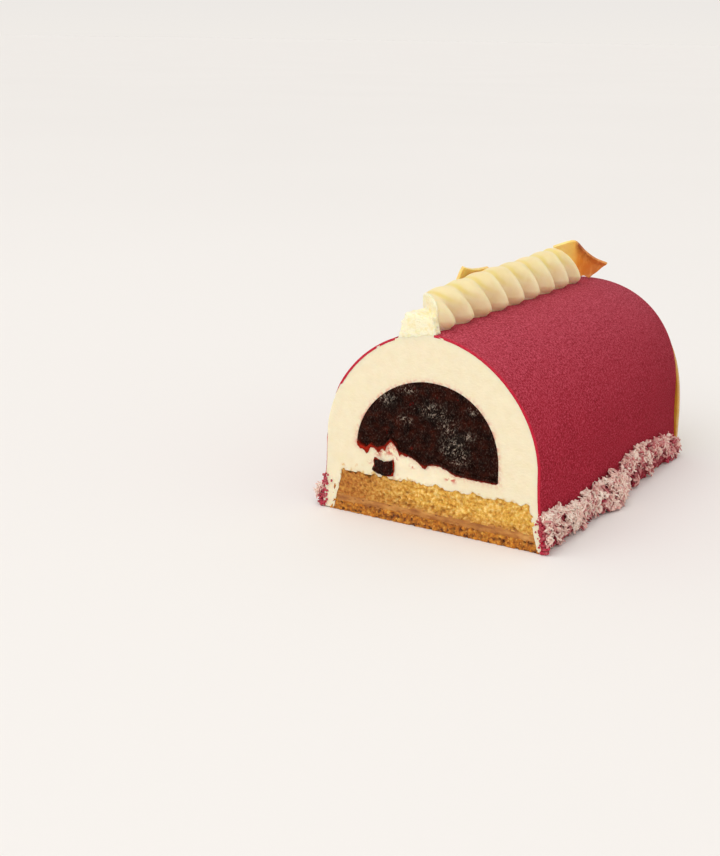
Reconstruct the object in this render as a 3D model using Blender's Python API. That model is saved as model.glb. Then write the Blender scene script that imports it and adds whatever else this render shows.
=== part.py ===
"""A yule log cake that has been cut into: what is left of the log once two slices have gone.

A bar of pale mousse is moulded round a core of dark berry compote and set on a sponge, a praline layer and
a biscuit. The outside is sprayed with a raspberry velvet coat, a ruffle of cream is piped along the top,
two caramel shavings lean on it, grated coconut is pressed round the foot and a caramel plaque closes the
far end. X is across the log, Y runs along it with the cut face at -Y, and Z is up. Sizes are in metres.
"""

import math
import random

import bmesh
import bpy
from mathutils import Vector, noise

# The log's outer skin.
LOG_LENGTH = 0.1286
HALF_WIDTH = 0.0400
SIDE_HEIGHT = 0.0266  # the nearly upright sides, up to where the arch begins
ARCH_RISE = 0.0406
ARCH_POWER = 1.86  # 2 is an ellipse; a little less gives the flatter shoulders of the mould
CUT_TURN = math.radians(0.7)  # the knife didn't fall quite square
CUT_LEAN = math.radians(-1.9)
CUT_SPREAD = 0.0026  # its pressure spread the foot of the log at the cut
FAR_SPREAD = 0.0003
FLOOR_CLEARANCE = 0.0008

# The layers inside it.
GAP = 0.0003  # between neighbours, so that each stays its own solid
COAT = 0.0008
BISCUIT_TOP = 0.0035
PRALINE_TOP = 0.0062
SPONGE_TOP = 0.0156
BASE_MIDDLE = 0.0009
BASE_HALF_WIDTH = 0.0365
BASE_TAPER = 0.0012  # the sponge is this much narrower than the foot of the biscuit
BASE_END_WALL = 0.0040  # mousse behind the base at the far end
CRUMB = 0.0004  # how far the cut crumb stands in and out
INSERT_CROWN = 0.0003  # X of its highest point: it sank a little to one side as it set
INSERT_LEFT = 0.0280
INSERT_LEFT_POWER = 1.88
INSERT_RIGHT = 0.0252
INSERT_RIGHT_POWER = 2.15
INSERT_FOOT = 0.0208
INSERT_SIDE = 0.0050  # its upright sides, below its own arch
INSERT_TOP = 0.0511
INSERT_END_WALL = 0.0080
TORN_DEPTH = 0.0080  # how far in the torn lower edge of the compote reaches
TORN_FROM = -0.0038  # the knife tore the underside from here to its left edge
TORN_LIFT = 0.0036
TORN_LUMPS = ((-0.0136, 0.0022, 0.0046), (0.0040, 0.0030, 0.0018))  # X, width and height of each
SCRAP_X, SCRAP_Z = -0.0170, 0.0189
SCRAP_HALF_SIZE = (0.0038, 0.0017, 0.0025)

# What is on it.
RUFFLE_MIDDLE = -0.0045
RUFFLE_PITCH = 0.0130
RUFFLE_FRONT_TIP = -0.0556  # Y of the first whole fold's tip
RUFFLE_FOLDS = 9
RUFFLE_LEAN = 0.0085  # how far the top of a fold runs ahead of its foot
RUFFLE_TIP_WIDTH = 0.0080
RUFFLE_GROOVE_WIDTH = 0.0050
RUFFLE_WAIST_HEIGHT = 0.0716
RUFFLE_ABOVE = 0.0065  # how far the first fold's top stands above its waist
RUFFLE_GROWTH = 0.0029  # how much more the middle folds stand
RUFFLE_LAST_RISE = 0.0010  # and the last ones beyond them
RUFFLE_BELOW = 0.0050
FOLD_PEAK = 0.66  # each fold is fullest two thirds of the way along it, then drops to the next
FOLD_SKEW = math.log(0.5) / math.log(FOLD_PEAK)
FOLD_FULLNESS = 0.75
BREAK_SETBACK = 0.0045  # the upper part of the cream broke away this far behind the cut,
BREAK_SLANT = 0.56  # and further back towards its left
DRAGGED_LEFT, DRAGGED_RIGHT = -0.0122, 0.0024  # the low block of cream that the knife dragged
DRAGGED_TAPER = 0.0030
DRAGGED_TOP = 0.0734
DRAGGED_BACK = -0.0550
DRAGGED_BACK_RIGHT = -0.0630
SHAVING_THICKNESS = 0.0012
COCONUT_HEIGHT = 0.0098
COCONUT_FOOT = 0.0005  # how far the bank stands out on the table, and
COCONUT_BULGE = 0.0014  # how much further at half its height
COCONUT_CLUMPS = (  # Y, width, and what each adds to the bank's height and to its foot
    (-0.060, 0.012, 0.0048, 0.0),
    (-0.016, 0.016, 0.0028, 0.0),
    (-0.008, 0.009, -0.0008, 0.0040),
    (0.022, 0.022, 0.0035, 0.0),
    (0.064, 0.009, -0.0020, 0.0012),
)
COCONUT_STRIPS = 66
STRIP_LENGTH = (0.0040, 0.0068)
STRIP_WIDTH = (0.0010, 0.0016)
STRIP_THICKNESS = 0.0006
PLAQUE_HALF_WIDTH = 0.0405
PLAQUE_HEIGHT = 0.0585
PLAQUE_POWER = 3.0
PLAQUE_SIDE = 0.0080  # its upright sides, below its own arch
PLAQUE_THICKNESS = 0.0022
PLAQUE_EDGE = 0.0004  # its bevel, and its clearance from the table

ARCH_POINTS = 44  # facets round the log's arch


# ---------------------------------------------------------------- shared shapes


def cut_y(x, z):
    """The cut face: the Y at which the knife passed, for a point across and up the log."""
    return -LOG_LENGTH / 2 + x * math.tan(CUT_TURN) + z * math.tan(CUT_LEAN)


def spread_at(y, z):
    """How far the skin stands out at its foot: most at the cut, almost nothing at the far end."""
    along = y / LOG_LENGTH + 0.5
    low = min(1.0, max(0.0, 1 - z / SIDE_HEIGHT))
    return (CUT_SPREAD + (FAR_SPREAD - CUT_SPREAD) * along) * low**2


def arch_z(x, inset=0.0):
    """Height of the arch above x, on the outline that lies inset inside the skin."""
    share = min(1.0, abs(x) / (HALF_WIDTH - inset))
    return SIDE_HEIGHT + (ARCH_RISE - inset) * (1 - share**ARCH_POWER) ** (1 / ARCH_POWER)


def power_arch(half_width, rise, power, count):
    """Points (x, z) of half a superellipse, from +half_width over the top to -half_width."""
    points = []
    for i in range(count + 1):
        angle = math.pi * i / count
        c, s = math.cos(angle), math.sin(angle)
        x = math.copysign(abs(c) ** (2 / power), c) * half_width
        points.append((x, abs(s) ** (2 / power) * rise))
    return points


def log_outline(inset, y, foot):
    """The log's outline at y, inset inside its skin, from its right foot over the top to its left foot."""
    sides = 6
    half = HALF_WIDTH - inset
    heights = [foot + (SIDE_HEIGHT - foot) * i / sides for i in range(sides)]
    right = [(half + spread_at(y, z), z) for z in heights]
    top = [(x, SIDE_HEIGHT + z) for x, z in power_arch(half, ARCH_RISE - inset, ARCH_POWER, ARCH_POINTS)]
    left = [(-x, z) for x, z in reversed(right)]
    return right + top + left


def material(name, colour, roughness):
    """A plain finish for one kind of sub-part."""
    made = bpy.data.materials.new(name)
    made.use_nodes = True
    shader = made.node_tree.nodes["Principled BSDF"]
    shader.inputs["Base Color"].default_value = (*colour, 1.0)
    shader.inputs["Roughness"].default_value = roughness
    shader.inputs["Metallic"].default_value = 0.0
    return made


def solid(name, points, faces, finish=None, smooth_below=0.6):
    """A mesh object of these points and faces. With no finish it is a cutter, and doesn't show."""
    mesh = bpy.data.meshes.new(name)
    mesh.from_pydata([tuple(p) for p in points], [], faces)
    tidy = bmesh.new()
    tidy.from_mesh(mesh)
    bmesh.ops.recalc_face_normals(tidy, faces=tidy.faces)
    tidy.to_mesh(mesh)
    tidy.free()
    made = bpy.data.objects.new(name, mesh)
    bpy.context.scene.collection.objects.link(made)
    if finish is None:
        made.hide_render = True
        made.display_type = "WIRE"
    else:
        mesh.materials.append(finish)
        mesh.shade_smooth()
        mesh.set_sharp_from_angle(angle=smooth_below)
    return made


def loft(name, rings, finish=None):
    """A closed solid through rings of equally many points, with a flat cap on the first and the last."""
    count = len(rings[0])
    points = [p for ring in rings for p in ring]
    faces = [tuple(range(count)), tuple(range((len(rings) - 1) * count, len(rings) * count))]
    for r in range(len(rings) - 1):
        for i in range(count):
            j = (i + 1) % count
            faces.append((r * count + i, r * count + j, (r + 1) * count + j, (r + 1) * count + i))
    return solid(name, points, faces, finish)


def lattice(name, cells, place, finish=None):
    """A closed block of cells[0] x cells[1] x cells[2], whose points place(u, v, w) puts in space."""
    index, points, faces = {}, [], []

    def point(key):
        if key not in index:
            index[key] = len(points)
            points.append(place(*[k / n for k, n in zip(key, cells)]))
        return index[key]

    for axis in range(3):
        a, b = (axis + 1) % 3, (axis + 2) % 3
        for end in (0, cells[axis]):
            for i in range(cells[a]):
                for j in range(cells[b]):
                    corners = []
                    for di, dj in ((0, 0), (1, 0), (1, 1), (0, 1)):
                        key = [0, 0, 0]
                        key[axis], key[a], key[b] = end, i + di, j + dj
                        corners.append(point(tuple(key)))
                    faces.append(corners)
    return solid(name, points, faces, finish)


def smooth_curve(points, share):
    """The point at share (0 to 1) of a smooth curve through these points."""
    spans = len(points) - 1
    span = min(int(share * spans), spans - 1)
    t = share * spans - span
    p = [Vector(points[min(max(span + k, 0), spans)]) for k in (-1, 0, 1, 2)]
    return 0.5 * (
        2 * p[1]
        + (p[2] - p[0]) * t
        + (2 * p[0] - 5 * p[1] + 4 * p[2] - p[3]) * t**2
        + (3 * p[1] - p[0] - 3 * p[2] + p[3]) * t**3
    )


def combine(target, other, operation, solver="EXACT"):
    """Adds to target, or takes from it, one object or all of a collection."""
    step = target.modifiers.new(operation.title(), "BOOLEAN")
    step.operation = operation
    step.solver = solver
    if isinstance(other, bpy.types.Collection):
        step.operand_type = "COLLECTION"
        step.collection = other
    else:
        step.object = other


def settle(target, used):
    """Applies target's modifiers, keeps only its largest shell, and removes the objects used on it."""
    bpy.context.view_layer.update()
    graph = bpy.context.evaluated_depsgraph_get()
    mesh = bpy.data.meshes.new_from_object(target.evaluated_get(graph))
    target.modifiers.clear()
    target.data = mesh
    whole = bmesh.new()
    whole.from_mesh(mesh)
    shells, seen = [], set()
    for start in whole.verts:
        if start in seen:
            continue
        shell, edge = {start}, [start]
        while edge:
            for link in edge.pop().link_edges:
                for vert in link.verts:
                    if vert not in shell:
                        shell.add(vert)
                        edge.append(vert)
        seen |= shell
        shells.append(shell)
    largest = max(shells, key=len)
    bmesh.ops.delete(whole, geom=[v for v in whole.verts if v not in largest], context="VERTS")
    whole.to_mesh(mesh)
    whole.free()
    for done in used:
        bpy.data.objects.remove(done)


# ---------------------------------------------------------------- the log


def log_block(name, inset, foot, front_margin, back, finish=None):
    """A length of the log's own outline: from the cut, or front_margin before it, to back."""
    rings = []
    for share in (0.0, 0.33, 0.66, 1.0):
        ring = []
        for i, (_, z) in enumerate(log_outline(inset, 0.0, foot)):
            front = cut_y(0.0, z) - front_margin
            y = front + (back - front) * share
            x, z = log_outline(inset, y, foot)[i]
            if share == 0.0:
                y = cut_y(x, z) - front_margin
            ring.append((x, y, z))
        rings.append(ring)
    return loft(name, rings, finish)


def velvet_coat():
    """The sprayed skin: the log's outline as a thin shell, open below and at the cut."""
    back = LOG_LENGTH / 2
    finish = material("velvet_coat", (0.42, 0.03, 0.06), 0.85)
    coat = log_block("velvet_coat", 0.0, FLOOR_CLEARANCE, 0.0, back, finish)
    core = log_block("coat_cutter", COAT, FLOOR_CLEARANCE - 0.005, 0.004, back - COAT)
    combine(coat, core, "DIFFERENCE")


def base_half_width(y, z):
    """Half the width of the sponge and biscuit at y and z."""
    return BASE_HALF_WIDTH - BASE_TAPER * z / SPONGE_TOP + spread_at(y, z)


def base_layer(name, low, high, finish, seed):
    """One slab of the base, with its cut crumb standing a little in and out."""
    back = LOG_LENGTH / 2 - COAT - GAP - BASE_END_WALL

    def place(u, v, w):
        z = low + (high - low) * w
        y = cut_y(0.0, z) + (back - cut_y(0.0, z)) * v
        x = BASE_MIDDLE + (2 * u - 1) * base_half_width(y, z)
        if v == 0.0:
            crumb = noise.noise(Vector((x * 320, z * 320, seed)))
            y = cut_y(x, z) + CRUMB * crumb
        return x, y, z

    return lattice(name, (18, 3, 3), place, finish)


def torn_edge(x, y):
    """Height of the compote's underside: flat inside, and torn upwards on its left near the cut."""
    near_cut = max(0.0, 1 - (y - cut_y(x, INSERT_FOOT)) / TORN_DEPTH)
    torn = 1 / (1 + math.exp((x - TORN_FROM) / 0.0008))
    lift = torn * (TORN_LIFT + 0.0009 * math.sin(x * 1500))
    lift += sum(high * math.exp(-(((x - middle) / width) ** 2)) for middle, width, high in TORN_LUMPS)
    return INSERT_FOOT + lift * near_cut


def insert_outline(y, grow):
    """The compote's outline at y, grown outwards by grow: its arch, then its underside."""
    shoulder = INSERT_FOOT + INSERT_SIDE
    rise = INSERT_TOP + grow - shoulder
    right = power_arch(INSERT_RIGHT + grow, rise, INSERT_RIGHT_POWER, 28)[:14]
    left = power_arch(INSERT_LEFT + grow, rise, INSERT_LEFT_POWER, 28)[14:]
    points = [(INSERT_CROWN + INSERT_RIGHT + grow, torn_edge(INSERT_RIGHT, y) - grow)]
    points += [(x + INSERT_CROWN, z + shoulder) for x, z in right + left]
    steps = 36
    for i in range(steps):
        x = INSERT_CROWN - INSERT_LEFT - grow + (INSERT_LEFT + INSERT_RIGHT + 2 * grow) * i / steps
        points.append((x, torn_edge(x, y) - grow))
    return points


def insert_block(name, grow, finish=None):
    """The core of compote, from the cut to a wall of mousse at the far end, or the bed it lies in."""
    back = LOG_LENGTH / 2 - COAT - GAP - INSERT_END_WALL + grow
    ahead = 0.004 if finish is None else 0.0
    rings = []
    for share in (0.0, 0.012, 0.04, TORN_DEPTH / LOG_LENGTH, 1.0):
        ring = []
        for i, (_, z) in enumerate(insert_outline(0.0, grow)):
            front = cut_y(0.0, z)
            y = front + (back - front) * share
            x, z = insert_outline(y, grow)[i]
            if share == 0.0:
                y = cut_y(x, z) - ahead
            ring.append((x, y, z))
        rings.append(ring)
    return loft(name, rings, finish)


def compote_scrap(name, grow, finish=None):
    """A scrap that the knife dragged out of the compote and left bedded in the mousse below it."""
    made = bpy.data.objects.new(name, bpy.data.meshes.new(name))
    bpy.context.scene.collection.objects.link(made)
    ball = bmesh.new()
    bmesh.ops.create_icosphere(ball, subdivisions=2, radius=1.0)
    middle = Vector((SCRAP_X, cut_y(SCRAP_X, SCRAP_Z) + 0.0006, SCRAP_Z))
    for vert in ball.verts:
        lump = 1 + 0.16 * noise.noise(vert.co * 1.9 + Vector((4.0, 0.0, 0.0)))
        vert.co = middle + Vector(c * (s * lump + grow) for c, s in zip(vert.co, SCRAP_HALF_SIZE))
    ball.to_mesh(made.data)
    ball.free()
    if finish is None:
        made.hide_render = True
        made.display_type = "WIRE"
    else:
        made.data.materials.append(finish)
        made.data.shade_smooth()
    return made


def mousse():
    """The pale mousse: all of the log inside its coat, round the compote and down beside the base."""
    back = LOG_LENGTH / 2 - COAT - GAP
    bar = log_block("mousse", COAT + GAP, GAP, 0.0, back, material("mousse", (0.93, 0.80, 0.58), 0.6))

    def bed(u, v, w):
        z = -0.004 + (SPONGE_TOP + GAP + 0.004) * w
        front = cut_y(0.0, z) - 0.004
        y = front + (back - BASE_END_WALL + GAP - front) * v
        return BASE_MIDDLE + (2 * u - 1) * (base_half_width(y, max(z, 0.0)) + GAP), y, z

    combine(bar, lattice("base_cutter", (2, 6, 8), bed), "DIFFERENCE")
    combine(bar, insert_block("insert_cutter", GAP), "DIFFERENCE")
    combine(bar, compote_scrap("scrap_cutter", GAP), "DIFFERENCE")


# ---------------------------------------------------------------- what is on the log


def ruffle_point(turn, angle):
    """A point on the piped cream: turn counts folds along it, angle goes round it from 0 at the right."""
    fold = abs(math.sin(math.pi * (turn % 1.0) ** FOLD_SKEW)) ** FOLD_FULLNESS
    last = min(1.0, max(0.0, (RUFFLE_FOLDS - turn) / 0.4))
    closing = math.sqrt(1 - (1 - last) ** 2)
    up = math.sin(angle)
    width = RUFFLE_GROOVE_WIDTH + (RUFFLE_TIP_WIDTH - RUFFLE_GROOVE_WIDTH) * fold
    above = RUFFLE_ABOVE + RUFFLE_GROWTH * min(1.0, max(0.0, turn / 4)) ** 0.7
    above += RUFFLE_LAST_RISE * max(0.0, turn / RUFFLE_FOLDS - 0.7) / 0.3
    rise = above * (0.93 + 0.07 * fold) if up > 0 else RUFFLE_BELOW
    height = RUFFLE_WAIST_HEIGHT + rise * up * (0.55 + 0.45 * closing)
    x = RUFFLE_MIDDLE + width * closing * math.cos(angle)
    lean = RUFFLE_LEAN * (0.6 + 0.4 * closing) * max(0.0, up) ** 0.85
    y = RUFFLE_FRONT_TIP + (turn - FOLD_PEAK) * RUFFLE_PITCH - lean
    return x, y, height


def broken_end(x, z):
    """Y of the rough face where the upper part of the cream broke away behind the knife."""
    crown_y = cut_y(0.0, SIDE_HEIGHT + ARCH_RISE)
    return crown_y + BREAK_SETBACK - BREAK_SLANT * (x - 0.001) + CRUMB * math.sin(z * 2100)


def dragged_block(u, v, w):
    """The low block of cream that the knife dragged level with the cut, in front of the first fold."""
    left = DRAGGED_LEFT + DRAGGED_TAPER * w
    x = left + (DRAGGED_RIGHT - left) * u
    foot = arch_z(x) + GAP
    z = foot + (DRAGGED_TOP + CRUMB * math.sin(x * 700) - foot) * w
    front, back = cut_y(x, z), DRAGGED_BACK + (DRAGGED_BACK_RIGHT - DRAGGED_BACK) * u
    return x, front + (back - front) * v, z


def piped_ruffle():
    """Cream piped along the top in leaning, overlapping folds, and dragged by the knife at the cut."""
    around, steps_a_fold = 15, 8
    low, high = math.radians(-48), math.radians(228)
    first = -1.0
    steps = int((RUFFLE_FOLDS - first) * steps_a_fold)
    rings = []
    for s in range(steps + 1):
        turn = min(first + s / steps_a_fold, RUFFLE_FOLDS - 0.03)
        ring = []
        for i in range(around):
            x, y, z = ruffle_point(turn, low + (high - low) * i / (around - 1))
            if i in (0, around - 1):
                z = arch_z(x) + GAP
            ring.append((x, y, max(z, arch_z(x) + GAP)))
        left, right = ring[-1], ring[0]
        for share in (0.33, 0.67):
            x = left[0] + (right[0] - left[0]) * share
            ring.append((x, left[1], arch_z(x) + GAP))
        rings.append(ring)
    cream = loft("piped_ruffle", rings, material("piped_cream", (0.86, 0.74, 0.46), 0.4))

    def ahead(u, v, w):
        x, z = (u - 0.5) * 0.08, 0.060 + 0.030 * w
        return x, broken_end(x, z) - 0.05 * (1 - v), z

    broken = lattice("break_cutter", (6, 1, 8), ahead)
    dragged = lattice("dragged_cream", (6, 2, 3), dragged_block)
    combine(cream, broken, "DIFFERENCE")
    combine(cream, dragged, "UNION")
    settle(cream, [broken, dragged])


def shaving(name, top_edge, foot_edge, hollow, finish):
    """A thin curled shaving between a top edge and a foot edge, each a smooth curve, bowed by hollow."""
    across = (Vector(foot_edge[-1]) - Vector(foot_edge[0])).normalized()
    face = across.cross(Vector((0, 0, 1))).normalized()

    def place(u, v, w):
        top, foot = smooth_curve(top_edge, u), smooth_curve(foot_edge, u)
        middle = foot.lerp(top, v) + face * hollow * (1 - (2 * v - 1) ** 2)
        return middle + face * SHAVING_THICKNESS * (w - 0.5)

    return lattice(name, (14, 5, 1), place, finish)


def caramel_shavings():
    """One shaving stands at the far end of the ruffle, and one leans on its left side."""
    finish = material("caramel_shaving", (0.52, 0.20, 0.04), 0.35)
    far_top = [
        (-0.0105, 0.0503, 0.0800),
        (-0.0052, 0.0525, 0.0825),
        (-0.0025, 0.0540, 0.0826),
        (0.0005, 0.0561, 0.0787),
        (0.0042, 0.0584, 0.0757),
        (0.0083, 0.0608, 0.0739),
    ]
    far_foot = [(-0.0095, 0.0566, 0.0662), (-0.0035, 0.0588, 0.0678), (0.0016, 0.0600, 0.0678)]
    shaving("far_shaving", far_top, far_foot, -0.0008, finish)
    left_top = [
        (-0.0116, -0.0230, 0.0819),
        (-0.0120, -0.0170, 0.0804),
        (-0.0122, -0.0105, 0.0794),
        (-0.0116, -0.0036, 0.0792),
    ]
    left_foot = [(-0.0162, -0.0228, 0.0636), (-0.0166, -0.0145, 0.0633), (-0.0160, -0.0060, 0.0636)]
    shaving("left_shaving", left_top, left_foot, -0.0010, finish)


def coconut_point(y, angle, side):
    """A point on the coconut's bank, from its foot on the table (angle 0) to its upper edge."""
    height, foot = COCONUT_HEIGHT, COCONUT_FOOT
    for middle, width, higher, deeper in COCONUT_CLUMPS:
        share = math.exp(-(((y * side - middle) / width) ** 2))
        height += higher * share
        foot += deeper * share
    lump = 1 + 0.5 * noise.noise(Vector((y * 210, angle * 1.3, side * 7.0)))
    z = height * (1 + 0.10 * noise.noise(Vector((y * 260, 3.0, side)))) * math.sin(angle) ** 0.8
    depth = foot * math.cos(angle) ** 0.7 + COCONUT_BULGE * lump * math.sin(2 * angle)
    return Vector((side * (HALF_WIDTH + spread_at(y, z) + depth), y, z))


def coconut_strip(name, rng, middle, side, holder):
    """One grated strip: a short, narrow, bent ribbon that stands off the bank in any direction."""
    length, width = rng.uniform(*STRIP_LENGTH), rng.uniform(*STRIP_WIDTH)
    along = Vector((side * rng.uniform(0.1, 0.9), rng.uniform(-1, 1), rng.uniform(-0.5, 1))).normalized()
    flat = along.cross(Vector((rng.uniform(-1, 1), rng.uniform(-1, 1), rng.uniform(-1, 1)))).normalized()
    out = along.cross(flat)
    bend = rng.uniform(-0.25, 0.25) * length

    def place(u, v, w):
        lift = bend * (1 - (2 * u - 1) ** 2) + STRIP_THICKNESS * (w - 0.5)
        return middle + along * length * (u - 0.3) + flat * width * (v - 0.5) + out * lift

    strip = lattice(name, (2, 1, 1), place)
    bpy.context.scene.collection.objects.unlink(strip)
    holder.objects.link(strip)


def coconut_bank(name, side, finish, seed):
    """Grated coconut pressed along the foot of one side: a lumpy bank with its strips fused on."""
    rng = random.Random(seed)
    front, back = -LOG_LENGTH / 2 - 0.004, LOG_LENGTH / 2

    rings = []
    stations, around = 26, 5
    for s in range(stations + 1):
        y = front + (back - front) * s / stations
        ring = [coconut_point(y, math.pi / 2 * i / around, side) for i in range(around + 1)]
        top = ring[-1]
        ring += [top + Vector((-side * 0.003, 0, 0)), Vector((side * (HALF_WIDTH - 0.004), y, 0.0))]
        rings.append(ring)
    bank = loft(name, rings, finish)

    strips = bpy.data.collections.new(name + "_strips")
    bpy.context.scene.collection.children.link(strips)
    strips.hide_render = True
    for k in range(COCONUT_STRIPS):
        y = front + 0.004 + (back - front - 0.006) * (k + rng.random()) / COCONUT_STRIPS
        angle = math.pi / 2 * rng.uniform(0.16, 0.97)
        coconut_strip(f"{name}_strip_{k}", rng, coconut_point(y, angle, side), side, strips)
    combine(bank, strips, "UNION", "MANIFOLD")

    # The bank stops at the log's skin, at the table and at the two ends.
    log = log_block(name + "_log_cutter", -GAP, -0.010, 0.020, LOG_LENGTH / 2 + 0.020)

    def kept(u, v, w):
        z = 0.020 * w
        x = side * (0.030 + 0.020 * u)
        y = cut_y(x, z) + (LOG_LENGTH / 2 - cut_y(x, z)) * v
        return x, y, z

    limit = lattice(name + "_limit", (1, 1, 1), kept)
    combine(bank, limit, "INTERSECT", "MANIFOLD")
    combine(bank, log, "DIFFERENCE", "MANIFOLD")
    settle(bank, [log, limit] + list(strips.objects))
    bpy.data.collections.remove(strips)


def end_plaque():
    """A thin caramel plaque that stands against the far end, a little wider than the log and lower."""
    rise, edge = PLAQUE_HEIGHT - PLAQUE_SIDE, PLAQUE_EDGE
    arch = [(x, z + PLAQUE_SIDE) for x, z in power_arch(PLAQUE_HALF_WIDTH, rise, PLAQUE_POWER, 40)]
    outline = [(PLAQUE_HALF_WIDTH - edge, edge)] + arch + [(edge - PLAQUE_HALF_WIDTH, edge)]
    near = LOG_LENGTH / 2 + GAP
    rings = []
    for depth, shrink in ((0.0, edge), (edge, 0.0), (PLAQUE_THICKNESS - edge, 0.0), (PLAQUE_THICKNESS, edge)):
        scale = 1 - shrink / PLAQUE_HALF_WIDTH
        rings.append([(x * scale, near + depth, edge + (z - edge) * scale) for x, z in outline])
    loft("end_plaque", rings, material("caramel_plaque", (0.60, 0.36, 0.12), 0.35))


def yule_log():
    """The whole cake, from its layers out to what lies on it."""
    for old in list(bpy.data.objects):
        bpy.data.objects.remove(old)
    base_layer("biscuit", 0.0, BISCUIT_TOP, material("biscuit", (0.42, 0.20, 0.06), 0.9), 1.0)
    base_layer("praline", BISCUIT_TOP + GAP, PRALINE_TOP, material("praline", (0.38, 0.19, 0.07), 0.6), 5.0)
    base_layer("sponge", PRALINE_TOP + GAP, SPONGE_TOP, material("sponge", (0.68, 0.42, 0.12), 0.9), 9.0)
    compote = material("berry_compote", (0.035, 0.008, 0.006), 0.25)
    insert_block("berry_insert", 0.0, compote)
    compote_scrap("berry_scrap", 0.0, compote)
    mousse()
    velvet_coat()
    piped_ruffle()
    caramel_shavings()
    coconut = material("grated_coconut", (0.78, 0.55, 0.52), 0.8)
    coconut_bank("coconut_right", 1.0, coconut, 11)
    coconut_bank("coconut_left", -1.0, coconut, 23)
    end_plaque()


yule_log()
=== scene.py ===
"""A yule log cake that has been cut into, with every layer, crumb and shred finished as food.

X is across the log, Y runs along it with the cut face at -Y, and Z is up. Sizes are in metres.
"""

import random
from math import acos, atan2, copysign, cos, exp, hypot, log, pi, radians, sin, sqrt, tan, tau

import bpy
import numpy as np
from mathutils import Matrix, Vector, noise


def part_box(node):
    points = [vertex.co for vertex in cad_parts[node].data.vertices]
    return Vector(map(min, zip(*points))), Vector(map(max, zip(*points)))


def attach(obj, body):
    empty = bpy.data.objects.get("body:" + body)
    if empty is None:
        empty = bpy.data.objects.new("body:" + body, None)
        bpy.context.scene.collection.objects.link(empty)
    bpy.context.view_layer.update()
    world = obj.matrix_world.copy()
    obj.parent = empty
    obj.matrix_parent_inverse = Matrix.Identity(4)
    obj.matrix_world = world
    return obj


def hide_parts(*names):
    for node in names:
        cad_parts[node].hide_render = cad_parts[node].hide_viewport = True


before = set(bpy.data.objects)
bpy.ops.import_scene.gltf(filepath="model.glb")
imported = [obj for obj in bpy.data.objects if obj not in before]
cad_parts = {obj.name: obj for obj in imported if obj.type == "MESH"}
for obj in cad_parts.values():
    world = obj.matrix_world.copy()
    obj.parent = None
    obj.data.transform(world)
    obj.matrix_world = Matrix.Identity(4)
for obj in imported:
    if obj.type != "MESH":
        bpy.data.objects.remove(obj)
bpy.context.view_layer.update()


# ---------------- the biscuit
# The foot of the cake is a thin biscuit of coarse, well-baked brown crumb. It was baked in a sheet, cut to a
# strip and pressed under the praline, and the knife has crumbled its end.

LOG_LENGTH = 0.1286
CUT_END, FAR_END = -LOG_LENGTH / 2, LOG_LENGTH / 2
CUT_TURN, CUT_LEAN = radians(0.7), radians(-1.9)  # the knife didn't fall quite square
SIDE_HEIGHT = 0.0266
CUT_SPREAD, FAR_SPREAD = 0.0026, 0.002  # how far the foot of the log is spread at its two ends
BASE_MIDDLE, BASE_HALF_WIDTH, BASE_TAPER = 0.0009, 0.0365, 0.0012
BASE_BACK = FAR_END - 0.0051
BISCUIT_TOP, PRALINE_TOP, SPONGE_TOP = 0.0036, 0.0064, 0.0158
SLIVER = 2e-6  # two points closer than this are one
KNIFE_LOW, KNIFE_DEPTH = -0.002, 0.05


def cut_y(x, z):
    """Y of the cut at a point across and up the log."""
    return CUT_END + x * tan(CUT_TURN) + z * tan(CUT_LEAN)


def held(value):
    """The value, but no less than 0 and no more than 1."""
    return min(1.0, max(0.0, value))


def along(y):
    """0 at the cut, rising to 1 at the far end of the log."""
    return held(y / LOG_LENGTH + 0.5)


def spread_at(y, z):
    """How far the side of the log stands out at its foot."""
    low = held(1 - z / SIDE_HEIGHT)
    return (CUT_SPREAD + (FAR_SPREAD - CUT_SPREAD) * along(y)) * low**2


def base_half_width(y, z):
    """Half the width of the biscuit, praline and sponge."""
    return BASE_HALF_WIDTH - BASE_TAPER * z / SPONGE_TOP + spread_at(y, z)


def take_up(piece):
    """Makes piece the only one that the next operator acts on."""
    bpy.ops.object.select_all(action="DESELECT")
    piece.select_set(True)
    bpy.context.view_layer.objects.active = piece


def begin(name):
    """Names the primitive just added, and sets its place into its mesh."""
    piece = bpy.context.object
    piece.name = piece.data.name = name
    take_up(piece)
    bpy.ops.object.transform_apply(location=True, rotation=True, scale=True)
    return piece


def start_editing(piece):
    """Opens the mesh of piece, with all of it selected."""
    take_up(piece)
    bpy.ops.object.mode_set(mode="EDIT")
    bpy.ops.mesh.select_all(action="SELECT")


def stop_editing():
    """Closes the mesh that is open."""
    bpy.ops.object.mode_set(mode="OBJECT")


def modify(piece, kind, **settings):
    """Gives piece a modifier of that kind with these settings, and applies it."""
    take_up(piece)
    step = piece.modifiers.new(kind, kind)
    for setting, value in settings.items():
        setattr(step, setting, value)
    bpy.ops.object.modifier_apply(modifier=step.name)


def carve(piece, other):
    """Takes other from piece, removes it, and clears the slivers that this leaves."""
    modify(piece, "BOOLEAN", operation="DIFFERENCE", solver="EXACT", object=other)
    bpy.data.objects.remove(other)
    start_editing(piece)
    bpy.ops.mesh.remove_doubles(threshold=SLIVER)
    bpy.ops.mesh.dissolve_degenerate(threshold=SLIVER)
    stop_editing()


def patch(at, size, seed=0.0):
    """Smooth noise from -1 to 1 at a point, with features of that size."""
    return noise.noise(Vector((at[0] / size, at[1] / size, at[2] / size + seed)))


def hole(at, size, share):
    """1 in the middle of scattered round holes of that size, 0 outside them."""
    near = noise.voronoi(Vector((at[0] / size, at[1] / size, at[2] / size)))[0][0]
    return max(0.0, 1 - near / share)


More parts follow.
